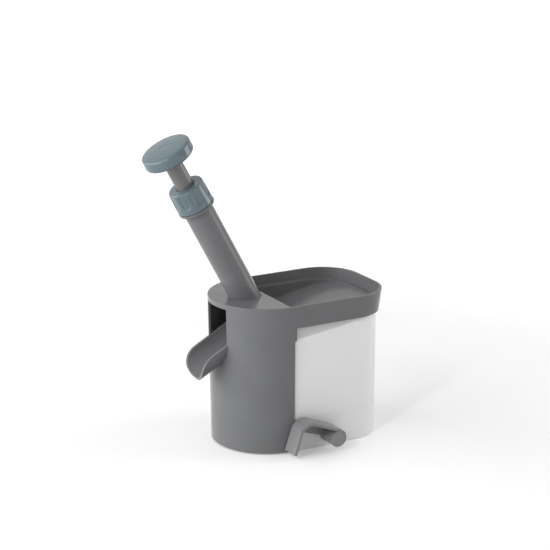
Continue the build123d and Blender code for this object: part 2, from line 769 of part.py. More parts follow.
# Cam shaft across the foot, and the clip that keeps it there
shaft_end = post_near + post_thickness + clip_thickness + 3.0
web_y = max(container_half_width, half_width_at(elbow_z)) + lever_gap
hub_end = web_y + strap_width + hub_proud
shaft_hub_end = hub_end - web_thickness
clip_place = post_near + post_thickness + loose
with BuildPart() as cam_shaft:
    with BuildSketch(Plane.XZ.offset(-shaft_end)):
        with Locations((0, shaft_height)):
            Circle(shaft_radius)
    extrude(amount=shaft_end + shaft_hub_end)
    with BuildSketch(Plane.XZ.offset(-stem_depth / 2 - loose)):
        with Locations((-cam_throw * sin(radians(cam_start)), cam_rest_z)):
            Circle(cam_radius)
    extrude(amount=stem_depth + 2 * loose)
    # Flats that turn the shaft with the lever, and the clip's groove
    with BuildSketch(Plane.XZ.offset(web_y + web_thickness)):
        for side in (1, -1):
            with Locations((0, shaft_height + side * (flat_half + shaft_radius))):
                Rectangle(3 * shaft_radius, 2 * shaft_radius)
    extrude(amount=shaft_hub_end, mode=Mode.SUBTRACT)
    with BuildSketch(Plane.XZ.offset(-clip_place - clip_thickness - snug)):
        with Locations((0, shaft_height)):
            Circle(shaft_radius + 1)
            Circle(shaft_radius - clip_groove, mode=Mode.SUBTRACT)
    extrude(amount=clip_thickness + 2 * snug, mode=Mode.SUBTRACT)
cam_shaft.part.label = "cam_shaft"

with BuildPart() as shaft_clip:
    with BuildSketch(Plane.XZ.offset(-clip_place - clip_thickness)):
        with Locations((0, shaft_height)):
            Circle(clip_radius)
            Circle(shaft_radius - clip_groove + running, mode=Mode.SUBTRACT)
        with Locations((0, shaft_height + clip_radius / 2 + 1)):
            Rectangle(2 * (shaft_radius - 1), clip_radius + 1, mode=Mode.SUBTRACT)
    extrude(amount=clip_thickness)
shaft_clip.part.label = "shaft_clip"

# Suction lever: a strap bent down at its free end, stiffened by a web beside the wall, on a round hub
elbow_reach = hypot(elbow_x, elbow_z - shaft_height)
wrap_turn = atan2(elbow_z - shaft_height, elbow_x) - acos(strap_outer / elbow_reach)
wrap_start = (strap_outer * cos(wrap_turn), shaft_height + strap_outer * sin(wrap_turn))
with BuildPart() as suction_lever:
    with BuildSketch(Plane.XZ.offset(container_half_width + loose)):
        with Locations((0, shaft_height)):
            Circle(hub_radius)
    extrude(amount=hub_end - container_half_width - loose)
    with BuildSketch(Plane.XZ.offset(web_y)):
        with BuildLine() as strap_line:
            FilletPolyline((leg_x, leg_z), (elbow_x, elbow_z), wrap_start, radius=elbow_round)
            wrap_middle = (strap_outer * cos(wrap_turn / 2), shaft_height + strap_outer * sin(wrap_turn / 2))
            ThreePointArc(wrap_start, wrap_middle, (strap_outer, shaft_height))
            TangentArc((strap_outer, shaft_height), (0.5, shaft_height - hub_radius), tangent=(0, -1))
            offset(amount=strap_thickness, side=Side.LEFT)
        make_face()
    extrude(amount=strap_width)
    with BuildSketch(Plane.XZ.offset(web_y)):
        with BuildLine():
            FilletPolyline((leg_x + 3.0, leg_z + 8.0), (elbow_x, elbow_z), wrap_start, radius=elbow_round)
            Polyline(
                wrap_start,
                (0, shaft_height),
                (web_hub_x, shaft_height + web_hub_rise),
                (web_elbow_x, shaft_height + web_elbow_rise),
                (elbow_x - 1.0, shaft_height + 4.0),
                (leg_x + 7.0, leg_z + 8.0),
                (leg_x + 3.0, leg_z + 8.0),
            )
        make_face()
    extrude(amount=web_thickness)
    # Bore for the shaft, round near the wall and flat-sided further out
    with BuildSketch(Plane.XZ.offset(container_half_width)):
        with Locations((0, shaft_height)):
            Circle(shaft_radius + running)
    extrude(amount=web_y + web_thickness - container_half_width, mode=Mode.SUBTRACT)
    with BuildSketch(Plane.XZ.offset(web_y)):
        with Locations((0, shaft_height)):
            Circle(shaft_radius + running)
            Rectangle(3 * shaft_radius, 2 * (flat_half + running), mode=Mode.INTERSECT)
    extrude(amount=shaft_hub_end + snug - web_y, mode=Mode.SUBTRACT)
suction_lever.part.label = "suction_lever"

pieces = (
    stone_container, container_gate, base_plate, base_screws, suction_cup, cup_stem, cam_shaft, shaft_clip,
    suction_lever, cover_body, guide_tube, exit_chute, seat_holder, seat_ring, spring_seat, return_spring,
    screw_cap, piston_rod, piston_knob, knob_stud, punch_rod, punch_head, punch_pin,
)
for piece in pieces:
    export_step(piece.part, f"parts/{piece.part.label}.step")
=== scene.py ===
"""Looks, light and camera of a counter-top cherry pitter with a stone container and suction base.

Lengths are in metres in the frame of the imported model: Z is up from the counter, the exit chute
points towards -X, and the suction lever is on the -Y side.
"""
import logging
import math
from dataclasses import dataclass
from enum import Enum
from typing import Callable, Iterable, Sequence

import bmesh
import bpy
from mathutils import Matrix, Vector


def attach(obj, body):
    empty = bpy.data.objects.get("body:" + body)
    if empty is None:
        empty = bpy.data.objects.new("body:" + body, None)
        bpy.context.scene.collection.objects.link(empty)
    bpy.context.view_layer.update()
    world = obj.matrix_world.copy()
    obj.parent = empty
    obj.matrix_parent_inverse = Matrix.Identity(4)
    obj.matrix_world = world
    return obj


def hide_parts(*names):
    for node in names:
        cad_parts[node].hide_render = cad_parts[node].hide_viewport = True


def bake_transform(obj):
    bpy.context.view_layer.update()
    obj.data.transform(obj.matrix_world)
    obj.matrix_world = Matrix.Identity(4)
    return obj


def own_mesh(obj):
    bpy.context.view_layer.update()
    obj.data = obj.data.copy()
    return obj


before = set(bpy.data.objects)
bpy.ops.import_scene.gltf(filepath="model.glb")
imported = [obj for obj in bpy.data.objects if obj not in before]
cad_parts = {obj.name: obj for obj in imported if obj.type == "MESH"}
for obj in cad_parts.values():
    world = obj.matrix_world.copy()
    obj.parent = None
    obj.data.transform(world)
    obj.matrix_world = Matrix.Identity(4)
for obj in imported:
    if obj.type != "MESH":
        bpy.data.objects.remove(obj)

LOG = logging.getLogger("cherry_pitter")
Spot = tuple[float, float]
Span = tuple[float, float]


@dataclass(frozen=True)
class TubeAxis:
    """The inclined axis of the guide tube, along which the piston travels."""

    foot: tuple[float, float, float] = (-0.055, 0.0, 0.134)
    lean: float = math.radians(28.3)

    @property
    def direction(self) -> Vector:
        """Unit vector up along the tube."""
        return Vector((-math.sin(self.lean), 0.0, math.cos(self.lean)))

    @property
    def across(self) -> Vector:
        """Unit vector square to the tube, towards the hopper."""
        return Vector((math.cos(self.lean), 0.0, math.sin(self.lean)))

    @property
    def matrix(self) -> Matrix:
        """Places a piece that is drawn upright about Z on the tube's axis."""
        x, z = self.across, self.direction
        y = z.cross(x)
        turned = Matrix((x, y, z)).transposed().to_4x4()
        return Matrix.Translation(Vector(self.foot)) @ turned

    def point(self, height: float) -> Vector:
        """Point on the axis.

        Args:
            height: distance above the deck along the tube.

        Returns:
            The point in the model's frame.
        """
        return Vector(self.foot) + self.direction * height


AXIS = TubeAxis()
# Noise values between which a tint goes from its one end to its other
NOISE_SPAN: Span = (0.3, 0.7)


class Grain(Enum):
    """Surface texture that the mould leaves on a plastic piece, by its depth in metres."""

    POLISHED = 0.00001
    SATIN = 0.00003
    SPARKED = 0.00006


class Wiring:
    """Places nodes in one node tree and joins their sockets."""

    MIX_SHARE, MIX_FIRST, MIX_SECOND, MIX_RESULT = 0, 6, 7, 2

    def __init__(self, tree: bpy.types.NodeTree) -> None:
        """Keeps the tree that the nodes go into."""
        self.tree = tree

    def node(self, kind: str, **settings: object) -> bpy.types.Node:
        """Adds a node.

        Args:
            kind: Blender's class name of the node.
            settings: properties of the node by name.

        Returns:
            The new node.
        """
        made = self.tree.nodes.new(kind)
        for key, value in settings.items():
            setattr(made, key, value)
        return made

    def join(self, source: bpy.types.NodeSocket, target: bpy.types.NodeSocket) -> None:
        """Links one output to one input."""
        self.tree.links.new(source, target)

    def feed(self, value: object, target: bpy.types.NodeSocket) -> None:
        """Gives an input a socket or a plain value."""
        if isinstance(value, bpy.types.NodeSocket):
            self.join(value, target)
        else:
            target.default_value = value

    def math(self, operation: str, first: object, second: object) -> bpy.types.NodeSocket:
        """Adds a Math node.

        Args:
            operation: name of the operation.
            first: socket or number for the first input.
            second: socket or number for the second input.

        Returns:
            The value socket.
        """
        made = self.node("ShaderNodeMath", operation=operation)
        self.feed(first, made.inputs[0])
        self.feed(second, made.inputs[1])
        return made.outputs[0]

    def span(self, value: bpy.types.NodeSocket, low: float, high: float,
             out_low: float = 0.0, out_high: float = 1.0) -> bpy.types.NodeSocket:
        """Maps a value from one span to another and clamps it.

        Args:
            value: the socket to map.
            low: input that gives out_low.
            high: input that gives out_high.
            out_low: lowest result.
            out_high: highest result.

        Returns:
            The mapped value socket.
        """
        made = self.node("ShaderNodeMapRange")
        self.join(value, made.inputs["Value"])
        ends = {"From Min": low, "From Max": high, "To Min": out_low, "To Max": out_high}
        for name, number in ends.items():
            made.inputs[name].default_value = number
        return made.outputs["Result"]

    def blend(self, share: object, first: object, second: object) -> bpy.types.NodeSocket:
        """Mixes two colours.

        Args:
            share: socket or number, the weight of the second colour.
            first: socket or RGBA colour.
            second: socket or RGBA colour.

        Returns:
            The colour socket.
        """
        made = self.node("ShaderNodeMix", data_type="RGBA")
        self.feed(share, made.inputs[self.MIX_SHARE])
        self.feed(first, made.inputs[self.MIX_FIRST])
        self.feed(second, made.inputs[self.MIX_SECOND])
        return made.outputs[self.MIX_RESULT]

    def tint(self, mask: bpy.types.NodeSocket, share: float, first: object,
             second: object) -> bpy.types.NodeSocket:
        """Lays a second colour over a first where a mask is set.

        Args:
            mask: the mask's socket.
            share: weight of the second colour where the mask is one.
            first: socket or RGBA colour.
            second: socket or RGBA colour.

        Returns:
            The colour socket.
        """
        return self.blend(self.math("MULTIPLY", mask, share), first, second)

    def lift(self, mask: bpy.types.NodeSocket, share: float,
             start: object) -> bpy.types.NodeSocket:
        """Adds a share of a mask to a value.

        Args:
            mask: the mask's socket.
            share: what is added where the mask is one.
            start: socket or number that it is added to.

        Returns:
            The value socket.
        """
        return self.math("ADD", self.math("MULTIPLY", mask, share), start)

    def noise(self, vector: bpy.types.NodeSocket, scale: object, detail: float,
              rough: float) -> bpy.types.NodeSocket:
        """Adds a noise texture.

        Args:
            vector: coordinates.
            scale: socket or number, features per metre.
            detail: octaves.
            rough: strength of the finer octaves.

        Returns:
            The factor socket.
        """
        made = self.node("ShaderNodeTexNoise")
        self.join(vector, made.inputs["Vector"])
        self.feed(scale, made.inputs["Scale"])
        made.inputs["Detail"].default_value = detail
        made.inputs["Roughness"].default_value = rough
        return made.outputs[0]

    def place(self) -> bpy.types.NodeSocket:
        """Coordinates in the piece's own frame, in metres."""
        return self.node("ShaderNodeTexCoord").outputs["Object"]

    def group(self, name: str) -> bpy.types.Node:
        """Adds one of the shared effects by name."""
        made = self.node("ShaderNodeGroup")
        made.node_tree = bpy.data.node_groups[name]
        return made


class Effects:
    """Shared surface effects, each built once as a node group.

    A span gives the values at which a mask starts and is full.
    """

    SPECK_SCALE = 0.6
    SPECK_SPAN: Span = (0.62, 0.72)
    EDGE_SPAN: Span = (0.995, 0.90)
    BREAK_SPAN: Span = (0.40, 0.62)
    SMUDGE_SPAN: Span = (0.42, 0.66)
    FILM_SCALE = 0.25
    FILM_SPAN: Span = (0.35, 0.70)
    FLOW_LINES = 70.0
    FLOW_STRETCH = (1.0, 1.0, 0.12)
    STAINS = 160.0
    LINE_STRETCH = (1.0, 1.0, 0.03)

    @staticmethod
    def _new(name: str, inputs: Iterable[tuple[str, float]], outputs: Iterable[str]) -> tuple[
            bpy.types.NodeTree, bpy.types.Node, bpy.types.Node]:
        """Makes an empty group.

        Args:
            name: the group's name.
            inputs: names and default values of its inputs.
            outputs: names of its value outputs.

        Returns:
            The tree with its input and output nodes.
        """
        tree = bpy.data.node_groups.new(name, "ShaderNodeTree")
        for label, value in inputs:
            socket = tree.interface.new_socket(label, in_out="INPUT", socket_type="NodeSocketFloat")
            socket.default_value = value
        for label in outputs:
            tree.interface.new_socket(label, in_out="OUTPUT", socket_type="NodeSocketFloat")
        return tree, tree.nodes.new("NodeGroupInput"), tree.nodes.new("NodeGroupOutput")

    @classmethod
    def mould_grain(cls) -> None:
        """Fine texture of a mould, with a slow swell where the plastic has sunk."""
        tree, given, out = cls._new(
            "mould_grain", (("Grains per metre", 2600.0), ("Swell per metre", 45.0)),
            ("Grain", "Swell", "Speckle"))
        wire = Wiring(tree)
        place = wire.place()
        fine = wire.noise(place, given.outputs[0], detail=2.0, rough=0.6)
        slow = wire.noise(place, given.outputs[1], detail=1.0, rough=0.4)
        specks = wire.math("MULTIPLY", given.outputs[0], cls.SPECK_SCALE)
        speck = wire.noise(place, specks, detail=1.0, rough=0.5)
        wire.join(fine, out.inputs["Grain"])
        wire.join(slow, out.inputs["Swell"])
        wire.join(wire.span(speck, *cls.SPECK_SPAN), out.inputs["Speckle"])

    @classmethod
    def edge_wear(cls) -> None:
        """Mask of the outer edges, broken up as handling breaks it."""
        tree, given, out = cls._new(
            "edge_wear", (("Width", 0.0006), ("Breaks per metre", 220.0)), ("Mask",))
        wire = Wiring(tree)
        soft = wire.node("ShaderNodeBevel", samples=4)
        wire.join(given.outputs[0], soft.inputs["Radius"])
        shape = wire.node("ShaderNodeNewGeometry")
        dot = wire.node("ShaderNodeVectorMath", operation="DOT_PRODUCT")
        wire.join(soft.outputs[0], dot.inputs[0])
        wire.join(shape.outputs["Normal"], dot.inputs[1])
        edge = wire.span(dot.outputs["Value"], *cls.EDGE_SPAN)
        breaks = wire.noise(wire.place(), given.outputs[1], detail=3.0, rough=0.6)
        broken = wire.span(breaks, *cls.BREAK_SPAN)
        wire.join(wire.math("MULTIPLY", edge, broken), out.inputs["Mask"])

    @classmethod
    def handling(cls) -> None:
        """Soft smudges left by fingers, and the film that washing leaves."""
        tree, given, out = cls._new("handling", (("Smudges per metre", 60.0),), ("Smudge", "Film"))
        wire = Wiring(tree)
        place = wire.place()
        smudge = wire.noise(place, given.outputs[0], detail=4.0, rough=0.55)
        films = wire.math("MULTIPLY", given.outputs[0], cls.FILM_SCALE)
        film = wire.noise(place, films, detail=2.0, rough=0.5)
        wire.join(wire.span(smudge, *cls.SMUDGE_SPAN), out.inputs["Smudge"])
        wire.join(wire.span(film, *cls.FILM_SPAN), out.inputs["Film"])

    @classmethod
    def frosting(cls) -> None:
        """Clouding of a frosted wall, with flow lines that rise from the gate in its foot."""
        tree, given, out = cls._new(
            "frosting", (("Clouds per metre", 22.0), ("Grains per metre", 3200.0)),
            ("Cloud", "Grain", "Flow"))
        wire = Wiring(tree)
        place = wire.place()
        cloud = wire.noise(place, given.outputs[0], detail=3.0, rough=0.5)
        grain = wire.noise(place, given.outputs[1], detail=1.0, rough=0.5)
        stretched = wire.node("ShaderNodeMapping")
        stretched.inputs["Scale"].default_value = cls.FLOW_STRETCH
        wire.join(place, stretched.inputs["Vector"])
        flow = wire.noise(stretched.outputs[0], cls.FLOW_LINES, detail=2.0, rough=0.5)
        wire.join(cloud, out.inputs["Cloud"])
        wire.join(grain, out.inputs["Grain"])
        wire.join(flow, out.inputs["Flow"])

    @classmethod
    def drawn_lines(cls) -> None:
        """Fine lines along a drawn or turned steel piece that stands on the tube's axis."""
        tree, given, out = cls._new(
            "drawn_lines", (("Lines per metre", 5200.0),), ("Lines", "Stain"))
        wire = Wiring(tree)
        turned = wire.node("ShaderNodeMapping")
        turned.inputs["Rotation"].default_value = (0.0, AXIS.lean, 0.0)
        turned.inputs["Scale"].default_value = cls.LINE_STRETCH
        place = wire.place()
        wire.join(place, turned.inputs["Vector"])
        lines = wire.noise(turned.outputs[0], given.outputs[0], detail=2.0, rough=0.5)
        stain = wire.noise(place, cls.STAINS, detail=3.0, rough=0.5)
        wire.join(lines, out.inputs["Lines"])
        wire.join(stain, out.inputs["Stain"])

    @classmethod
    def build(cls) -> None:
        """Builds every effect."""
        for make in (cls.mould_grain, cls.edge_wear, cls.handling, cls.frosting,
                     cls.drawn_lines):
            make()


@dataclass(frozen=True)
class Finish:
    """A finish that is built as one material and used by several pieces."""

    name: str
    colour: tuple[float, float, float]
    roughness: float

    def material(self) -> bpy.types.Material:
        """The finish as a material, made on first use."""
        found = bpy.data.materials.get(self.name)
        if found is not None:
            return found
        made = bpy.data.materials.new(self.name)
        made.use_nodes = True
        tree = made.node_tree
        tree.nodes.clear()
        wire = Wiring(tree)
        shader = wire.node("ShaderNodeBsdfPrincipled")
        target = wire.node("ShaderNodeOutputMaterial")
        wire.join(shader.outputs[0], target.inputs["Surface"])
        self.wire(wire, shader)
        made.diffuse_color = (*self.colour, 1.0)
        return made

    def wire(self, wire: Wiring, shader: bpy.types.Node) -> None:
        """Joins the finish's own nodes to its shader; each kind of finish has its own."""
        raise NotImplementedError

    def shade(self, factor: float) -> tuple[float, float, float, float]:
        """The colour made lighter or darker.

        Args:
            factor: multiplier of each channel.

        Returns:
            An RGBA colour.
        """
        return (*(min(channel * factor, 1.0) for channel in self.colour), 1.0)

    @staticmethod
    def relief(wire: Wiring, shader: bpy.types.Node, height: bpy.types.NodeSocket,
               depth: float, soft_edge: float) -> None:
        """Gives the shader a bumped normal with rounded edges.

        Args:
            wire: the material's wiring.
            shader: the shader that takes the normal.
            height: the height of the surface texture, from 0 to 1.
            depth: depth of the texture in metres.
            soft_edge: radius of the edges in metres.
        """
        rounded = wire.node("ShaderNodeBevel", samples=6)
        rounded.inputs["Radius"].default_value = soft_edge
        bump = wire.node("ShaderNodeBump")
        bump.inputs["Strength"].default_value = 1.0
        bump.inputs["Distance"].default_value = depth
        wire.join(height, bump.inputs["Height"])
        wire.join(rounded.outputs[0], bump.inputs["Normal"])
        wire.join(bump.outputs[0], shader.inputs["Normal"])


@dataclass(frozen=True)
class PlasticFinish(Finish):
    """Moulded plastic with grain, handling marks and slightly worn edges."""

    grain: Grain = Grain.SATIN
    wear: float = 0.25
    soft_edge: float = 0.0005
    bending: float = 1.49
    swell_tints: Span = (0.97, 1.03)
    speckle_share: float = 0.05
    film_share: float = 0.05
    pale_tint: float = 1.2
    worn_tint: float = 1.7
    smudge_rough: float = 0.04
    worn_rough: float = 0.12
    swell_height: float = 2.0

    def wire(self, wire: Wiring, shader: bpy.types.Node) -> None:
        """Joins grain, smudges and edge wear to colour, roughness and normal."""
        grain = wire.group("mould_grain")
        marks = wire.group("handling")
        worn = wire.group("edge_wear").outputs["Mask"]
        pale = self.shade(self.pale_tint)
        darker, lighter = (self.shade(tint) for tint in self.swell_tints)
        base = wire.blend(wire.span(grain.outputs["Swell"], *NOISE_SPAN), darker, lighter)
        base = wire.tint(grain.outputs["Speckle"], self.speckle_share, base, pale)
        base = wire.tint(marks.outputs["Film"], self.film_share, base, pale)
        base = wire.tint(worn, self.wear, base, self.shade(self.worn_tint))
        wire.join(base, shader.inputs["Base Color"])
        rough = wire.lift(marks.outputs["Smudge"], self.smudge_rough, self.roughness)
        rough = wire.math("ADD", rough, wire.math("MULTIPLY", worn, self.worn_rough))
        wire.join(rough, shader.inputs["Roughness"])
        swell = wire.math("MULTIPLY", grain.outputs["Swell"], self.swell_height)
        height = wire.math("ADD", grain.outputs["Grain"], swell)
        self.relief(wire, shader, height, self.grain.value, self.soft_edge)
        shader.inputs["IOR"].default_value = self.bending


@dataclass(frozen=True)
class FrostedFinish(Finish):
    """Milky translucent plastic, frosted by the mould, which dims what is behind it, with painted
    shade where the hopper's floor stands behind the wall.
    """

    through: float = 0.34
    bending: float = 1.49
    cloud_tint: float = 0.975
    flow_share: float = 0.10
    flow_tint: float = 0.93
    film_share: float = 0.05
    film_tint: float = 0.9
    smudge_rough: float = 0.08
    grain_depth: float = 0.00003
    soft_edge: float = 0.0006
    # Plane of the hopper's floor, and the painted shade that it lays on the wall in front of it
    floor_start: Spot = (-0.0335, 0.1029)
    floor_slope: float = 7.7
    painted_floor_shade: float = 0.70
    floor_blur: Span = (-0.0004, 0.0006)

    def painted_hopper_shade(self, wire: Wiring) -> bpy.types.NodeSocket:
        """Mask of painted shade on the wall, which stands in for the hopper's dark sloping floor
        right behind it.

        It is measured on the cover, so that it goes when the cover is lifted off.

        Args:
            wire: the material's wiring.

        Returns:
            The mask's socket.
        """
        cover = wire.node("ShaderNodeTexCoord", object=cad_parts["cover_body"])
        split = wire.node("ShaderNodeSeparateXYZ")
        wire.join(cover.outputs["Object"], split.inputs[0])
        slope = math.tan(math.radians(self.floor_slope))
        start, height = self.floor_start
        rise = wire.math("MULTIPLY", wire.math("SUBTRACT", split.outputs[0], start), slope)
        above = wire.math("SUBTRACT", wire.math("SUBTRACT", split.outputs[2], rise), height)
        return wire.span(above, *self.floor_blur)

    def wire(self, wire: Wiring, shader: bpy.types.Node) -> None:
        """Joins clouds, flow lines, frosting and the painted shade of the hopper's floor to the
        shader.
        """
        frost = wire.group("frosting")
        marks = wire.group("handling")
        base = wire.blend(wire.span(frost.outputs["Cloud"], *NOISE_SPAN),
                          self.shade(self.cloud_tint), self.shade(1.0))
        base = wire.tint(frost.outputs["Flow"], self.flow_share, base, self.shade(self.flow_tint))
        base = wire.tint(marks.outputs["Film"], self.film_share, base, self.shade(self.film_tint))
        # Painted shade: the wall's colour is darkened where the hopper's floor stands right behind
        # it
        base = wire.blend(self.painted_hopper_shade(wire), base, self.shade(self.painted_floor_shade))
        wire.join(base, shader.inputs["Base Color"])
        rough = wire.lift(marks.outputs["Smudge"], self.smudge_rough, self.roughness)
        wire.join(rough, shader.inputs["Roughness"])
        self.relief(wire, shader, frost.outputs["Grain"], self.grain_depth, self.soft_edge)
        shader.inputs["IOR"].default_value = self.bending
        shader.inputs["Transmission Weight"].default_value = self.through


@dataclass(frozen=True)
class SteelFinish(Finish):
    """Drawn or turned stainless steel."""

    line_depth: float = 0.000006
    soft_edge: float = 0.0002
    line_tints: Span = (0.9, 1.05)
    line_rough: float = 0.15
    stain_span: Span = (0.5, 0.7)
    stain_share: float = 0.15
    stain_tint: float = 0.8
    worn_share: float = 0.4
    worn_tint: float = 1.3

    def wire(self, wire: Wiring, shader: bpy.types.Node) -> None:
        """Joins drawn lines and water stains to the shader."""
        lines = wire.group("drawn_lines")
        worn = wire.group("edge_wear")
        darker, lighter = (self.shade(tint) for tint in self.line_tints)
        base = wire.blend(wire.span(lines.outputs["Lines"], *NOISE_SPAN), darker, lighter)
        stain = wire.span(lines.outputs["Stain"], *self.stain_span)
        base = wire.tint(stain, self.stain_share, base, self.shade(self.stain_tint))
        base = wire.tint(worn.outputs["Mask"], self.worn_share, base, self.shade(self.worn_tint))
        wire.join(base, shader.inputs["Base Color"])
        rough = wire.lift(lines.outputs["Lines"], self.line_rough, self.roughness)
        wire.join(rough, shader.inputs["Roughness"])
        self.relief(wire, shader, lines.outputs["Lines"], self.line_depth, self.soft_edge)
        shader.inputs["Metallic"].default_value = 1.0


@dataclass(frozen=True)
class RubberFinish(Finish):
    """Soft rubber with a bloom on its surface."""

    through: float = 0.0
    bloom_share: float = 0.35
    bloom_tints: Span = (0.92, 1.35)
    speckle_share: float = 0.15
    speckle_tint: float = 1.5
    smudge_rough: float = 0.12
    grain_depth: float = 0.00005
    soft_edge: float = 0.0005
    sheen: float = 0.15
    sheen_rough: float = 0.5

    def wire(self, wire: Wiring, shader: bpy.types.Node) -> None:
        """Joins bloom and grain to the shader."""
        grain = wire.group("mould_grain")
        marks = wire.group("handling")
        bare, bloomed = (self.shade(tint) for tint in self.bloom_tints)
        base = wire.tint(marks.outputs["Film"], self.bloom_share, bare, bloomed)
        base = wire.tint(grain.outputs["Speckle"], self.speckle_share, base,
                         self.shade(self.speckle_tint))
        wire.join(base, shader.inputs["Base Color"])
        rough = wire.lift(marks.outputs["Smudge"], self.smudge_rough, self.roughness)
        wire.join(rough, shader.inputs["Roughness"])
        self.relief(wire, shader, grain.outputs["Grain"], self.grain_depth, self.soft_edge)
        shader.inputs["Transmission Weight"].default_value = self.through
        shader.inputs["Sheen Weight"].default_value = self.sheen
        shader.inputs["Sheen Roughness"].default_value = self.sheen_rough


GREY = PlasticFinish("satin_grey", (0.143, 0.145, 0.149), 0.14, wear=0.22, bending=1.27)
ROD_GREY = PlasticFinish("polished_grey", (0.140, 0.138, 0.141), 0.11, Grain.POLISHED,
                         wear=0.12, bending=1.42)
# Painted light: a lighter copy of the body's grey, which makes up for the little light that reaches
# the lever low by the counter
PAINTED_LIGHT_LEVER_GREY = PlasticFinish("satin_lever_grey_painted_lighter", (0.198, 0.200, 0.205), 0.21,
                           wear=0.22, bending=1.38)
DARK = PlasticFinish("sparked_dark_grey", (0.085, 0.088, 0.092), 0.38, Grain.SPARKED, wear=0.2)
BLUE_GREY = PlasticFinish("polished_blue_grey", (0.092, 0.134, 0.152), 0.07, Grain.POLISHED,
                          wear=0.12)
PALE = PlasticFinish("sparked_white", (0.62, 0.62, 0.60), 0.40, Grain.SPARKED, wear=0.1)
FROSTED = FrostedFinish("frosted_shell", (0.985, 0.985, 0.983), 0.32)
STEEL = SteelFinish("drawn_steel", (0.62, 0.62, 0.61), 0.24)
SPRING = SteelFinish("bright_wire", (0.56, 0.56, 0.57), 0.18)
RUBBER = RubberFinish("soft_black", (0.035, 0.035, 0.037), 0.55)
CUP_RUBBER = RubberFinish("soft_clear", (0.42, 0.44, 0.44), 0.35, through=0.25)


class Shaper:
    """Turns rows of points into smooth, closed meshes."""

    ON_AXIS = 1e-7

    @staticmethod
    def finish(mesh: bmesh.types.BMesh, name: str, finish: Finish,
               sharp: float) -> bpy.types.Object:
        """Makes an object of a bmesh.

        Args:
            mesh: the shape, which is freed.
            name: the object's name.
            finish: its finish.
            sharp: angle in degrees above which an edge stays sharp.

        Returns:
            The new object.
        """
        bmesh.ops.recalc_face_normals(mesh, faces=mesh.faces)
        data = bpy.data.meshes.new(name)
        mesh.to_mesh(data)
        mesh.free()
        data.shade_smooth()
        data.set_sharp_from_angle(angle=math.radians(sharp))
        data.materials.append(finish.material())
        made = bpy.data.objects.new(name, data)
        bpy.context.scene.collection.objects.link(made)
        return made

    @staticmethod
    def lathe(name: str, profile: Sequence[Spot], finish: Finish, place: Matrix, segments: int,
              shape: Callable[[float, float, float], float] | None = None,
              sharp: float = 35.0) -> bpy.types.Object:
        """Turns a closed or axis-to-axis profile about Z.

        Args:
            name: the object's name.
            profile: radius and height of each point, in metres; a radius of 0 closes an end.
            finish: its finish.
            place: where the upright piece goes.
            segments: points round the axis.
            shape: changes a radius, given radius, height and angle.
            sharp: angle in degrees above which an edge stays sharp.

        Returns:
            The new object.
        """
        mesh = bmesh.new()
        rings = []
        for radius, height in profile:
            if radius <= Shaper.ON_AXIS:
                rings.append([mesh.verts.new(place @ Vector((0.0, 0.0, height)))])
                continue
            ring = []
            for number in range(segments):
                angle = 2.0 * math.pi * number / segments
                reach = shape(radius, height, angle) if shape else radius
                spot = Vector((reach * math.cos(angle), reach * math.sin(angle), height))
                ring.append(mesh.verts.new(place @ spot))
            rings.append(ring)
        pairs = list(zip(rings, rings[1:]))
        if len(rings[0]) > 1 and len(rings[-1]) > 1:
            pairs.append((rings[-1], rings[0]))
        for low, high in pairs:
            for number in range(segments):
                after = (number + 1) % segments
                loop = (low[number % len(low)], low[after % len(low)],
                        high[after % len(high)], high[number % len(high)])
                unique = list(dict.fromkeys(loop))
                if len(unique) > 2:
                    mesh.faces.new(unique)
        return Shaper.finish(mesh, name, finish, sharp)

    @staticmethod
    def tube(name: str, path: Sequence[Vector], radius: float, finish: Finish,
             sides: int = 12, sharp: float = 50.0) -> bpy.types.Object:
        """Runs a round wire along a path, with flat ends.

        Args:
            name: the object's name.
            path: points of the wire's middle.
            radius: radius of the wire.
            finish: its finish.
            sides: points round the wire.
            sharp: angle in degrees above which an edge stays sharp.

        Returns:
            The new object.
        """
        mesh = bmesh.new()
        turns = [2.0 * math.pi * k / sides for k in range(sides)]
        rings = []
        side = (path[1] - path[0]).orthogonal().normalized()
        for number, point in enumerate(path):
            ahead = path[min(number + 1, len(path) - 1)] - path[max(number - 1, 0)]
            ahead.normalize()
            side = (side - ahead * side.dot(ahead)).normalized()
            other = ahead.cross(side)
            rings.append([
                mesh.verts.new(point + (side * math.cos(turn) + other * math.sin(turn)) * radius)
                for turn in turns])
        for low, high in zip(rings, rings[1:]):
            for k in range(sides):
                after = (k + 1) % sides
                mesh.faces.new((low[k], low[after], high[after], high[k]))
        for ring in (rings[0], rings[-1]):
            mesh.faces.new(ring)
        return Shaper.finish(mesh, name, finish, sharp)


def arc(centre: Spot, radius: float, start: float, end: float, steps: int) -> list[Spot]:
    """Points on an arc in a plane.

    Args:
        centre: middle of the arc.
        radius: its radius.
        start: first angle in degrees.
        end: last angle in degrees.
        steps: number of steps.

    Returns:
        The points, both ends included.
    """
    turns = [math.radians(start + (end - start) * k / steps) for k in range(steps + 1)]
    return [(centre[0] + radius * math.cos(turn), centre[1] + radius * math.sin(turn))
            for turn in turns]


def eased(share: float) -> float:
    """A share clamped from 0 to 1, with a soft start and end."""
    share = min(max(share, 0.0), 1.0)
    return share * share * (3.0 - 2.0 * share)


def dress(finish: Finish, *nodes: str) -> None:
    """Gives carried-over CAD nodes their finish.

    Args:
        finish: the finish.
        nodes: names of the nodes.
    """
    for name in nodes:
        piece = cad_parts[name]
        if not piece.material_slots:
            piece.data.materials.append(finish.material())
        for place in piece.material_slots:
            place.material = finish.material()
        LOG.info("dressed %s in %s", name, finish.name)


